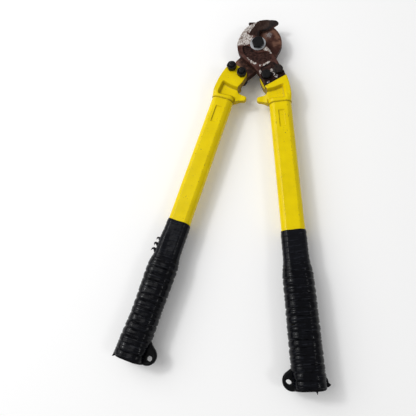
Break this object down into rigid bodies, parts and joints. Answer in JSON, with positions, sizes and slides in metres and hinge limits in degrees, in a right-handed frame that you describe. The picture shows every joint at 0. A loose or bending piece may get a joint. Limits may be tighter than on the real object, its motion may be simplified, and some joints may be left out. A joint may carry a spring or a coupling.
{
  "type": "cable cutter",
  "caption": "Long-handled cable cutter: two hooked shear blades on one pivot bolt, bolted to yellow cast handle heads with flattened tubes and taped rubber grips.",
  "frame": {"origin": "on the surface the tool lies on, below the middle of its length and width; the pivot axis stands 215.5 mm towards the jaws", "axes": "+Y from the grips to the jaws along the centre line between the handles, +Z along the pivot bolt from its rounded end to its head, +X to the front blade's handle"},
  "size_m": [0.2724, 0.523, 0.041],
  "materials": {
    "blade_steel": "forged tool steel, rust-brown with worn bright patches and a ground edge",
    "black_oxide": "black oxide, satin, oily",
    "bright_zinc": "bright zinc, lightly worn",
    "bronze": "plain turned bronze",
    "yellow_casting": "gloss yellow enamel over an as-cast surface, chipped at edges",
    "yellow_tube": "smooth gloss yellow enamel with a few chips",
    "grip_rubber": "moulded black rubber",
    "grip_tape": "wound black vinyl tape with ridges at each turn"
  },
  "bodies": {
    "right_arm": {"blade_front": "blade_steel", "pivot_bolt": "black_oxide", "pivot_nut": "black_oxide", "pivot_washer_front": "bright_zinc", "pivot_washer_rear": "bright_zinc", "pivot_bush": "bronze", "handle_head_right": "yellow_casting", "handle_tube_right": "yellow_tube", "grip_sleeve_right": "grip_rubber", "tape_wrap_right": "grip_tape", "blade_bolt_right_inner": "black_oxide", "blade_nut_right_inner": "black_oxide", "blade_bolt_right_outer": "black_oxide", "blade_nut_right_outer": "black_oxide"},
    "left_arm": {"blade_rear": "blade_steel", "handle_head_left": "yellow_casting", "handle_tube_left": "yellow_tube", "grip_sleeve_left": "grip_rubber", "tape_wrap_left": "grip_tape", "blade_bolt_left_inner": "black_oxide", "blade_nut_left_inner": "black_oxide", "blade_bolt_left_outer": "black_oxide", "blade_nut_left_outer": "black_oxide"}
  },
  "joints": [
    {"name": "pivot", "type": "hinge", "parent": "right_arm", "child": "left_arm", "pos_m": [0, 0.21552, 0.0208], "axis": [0, 0, -1], "range_deg": [-9.8, 115]}
  ]
}
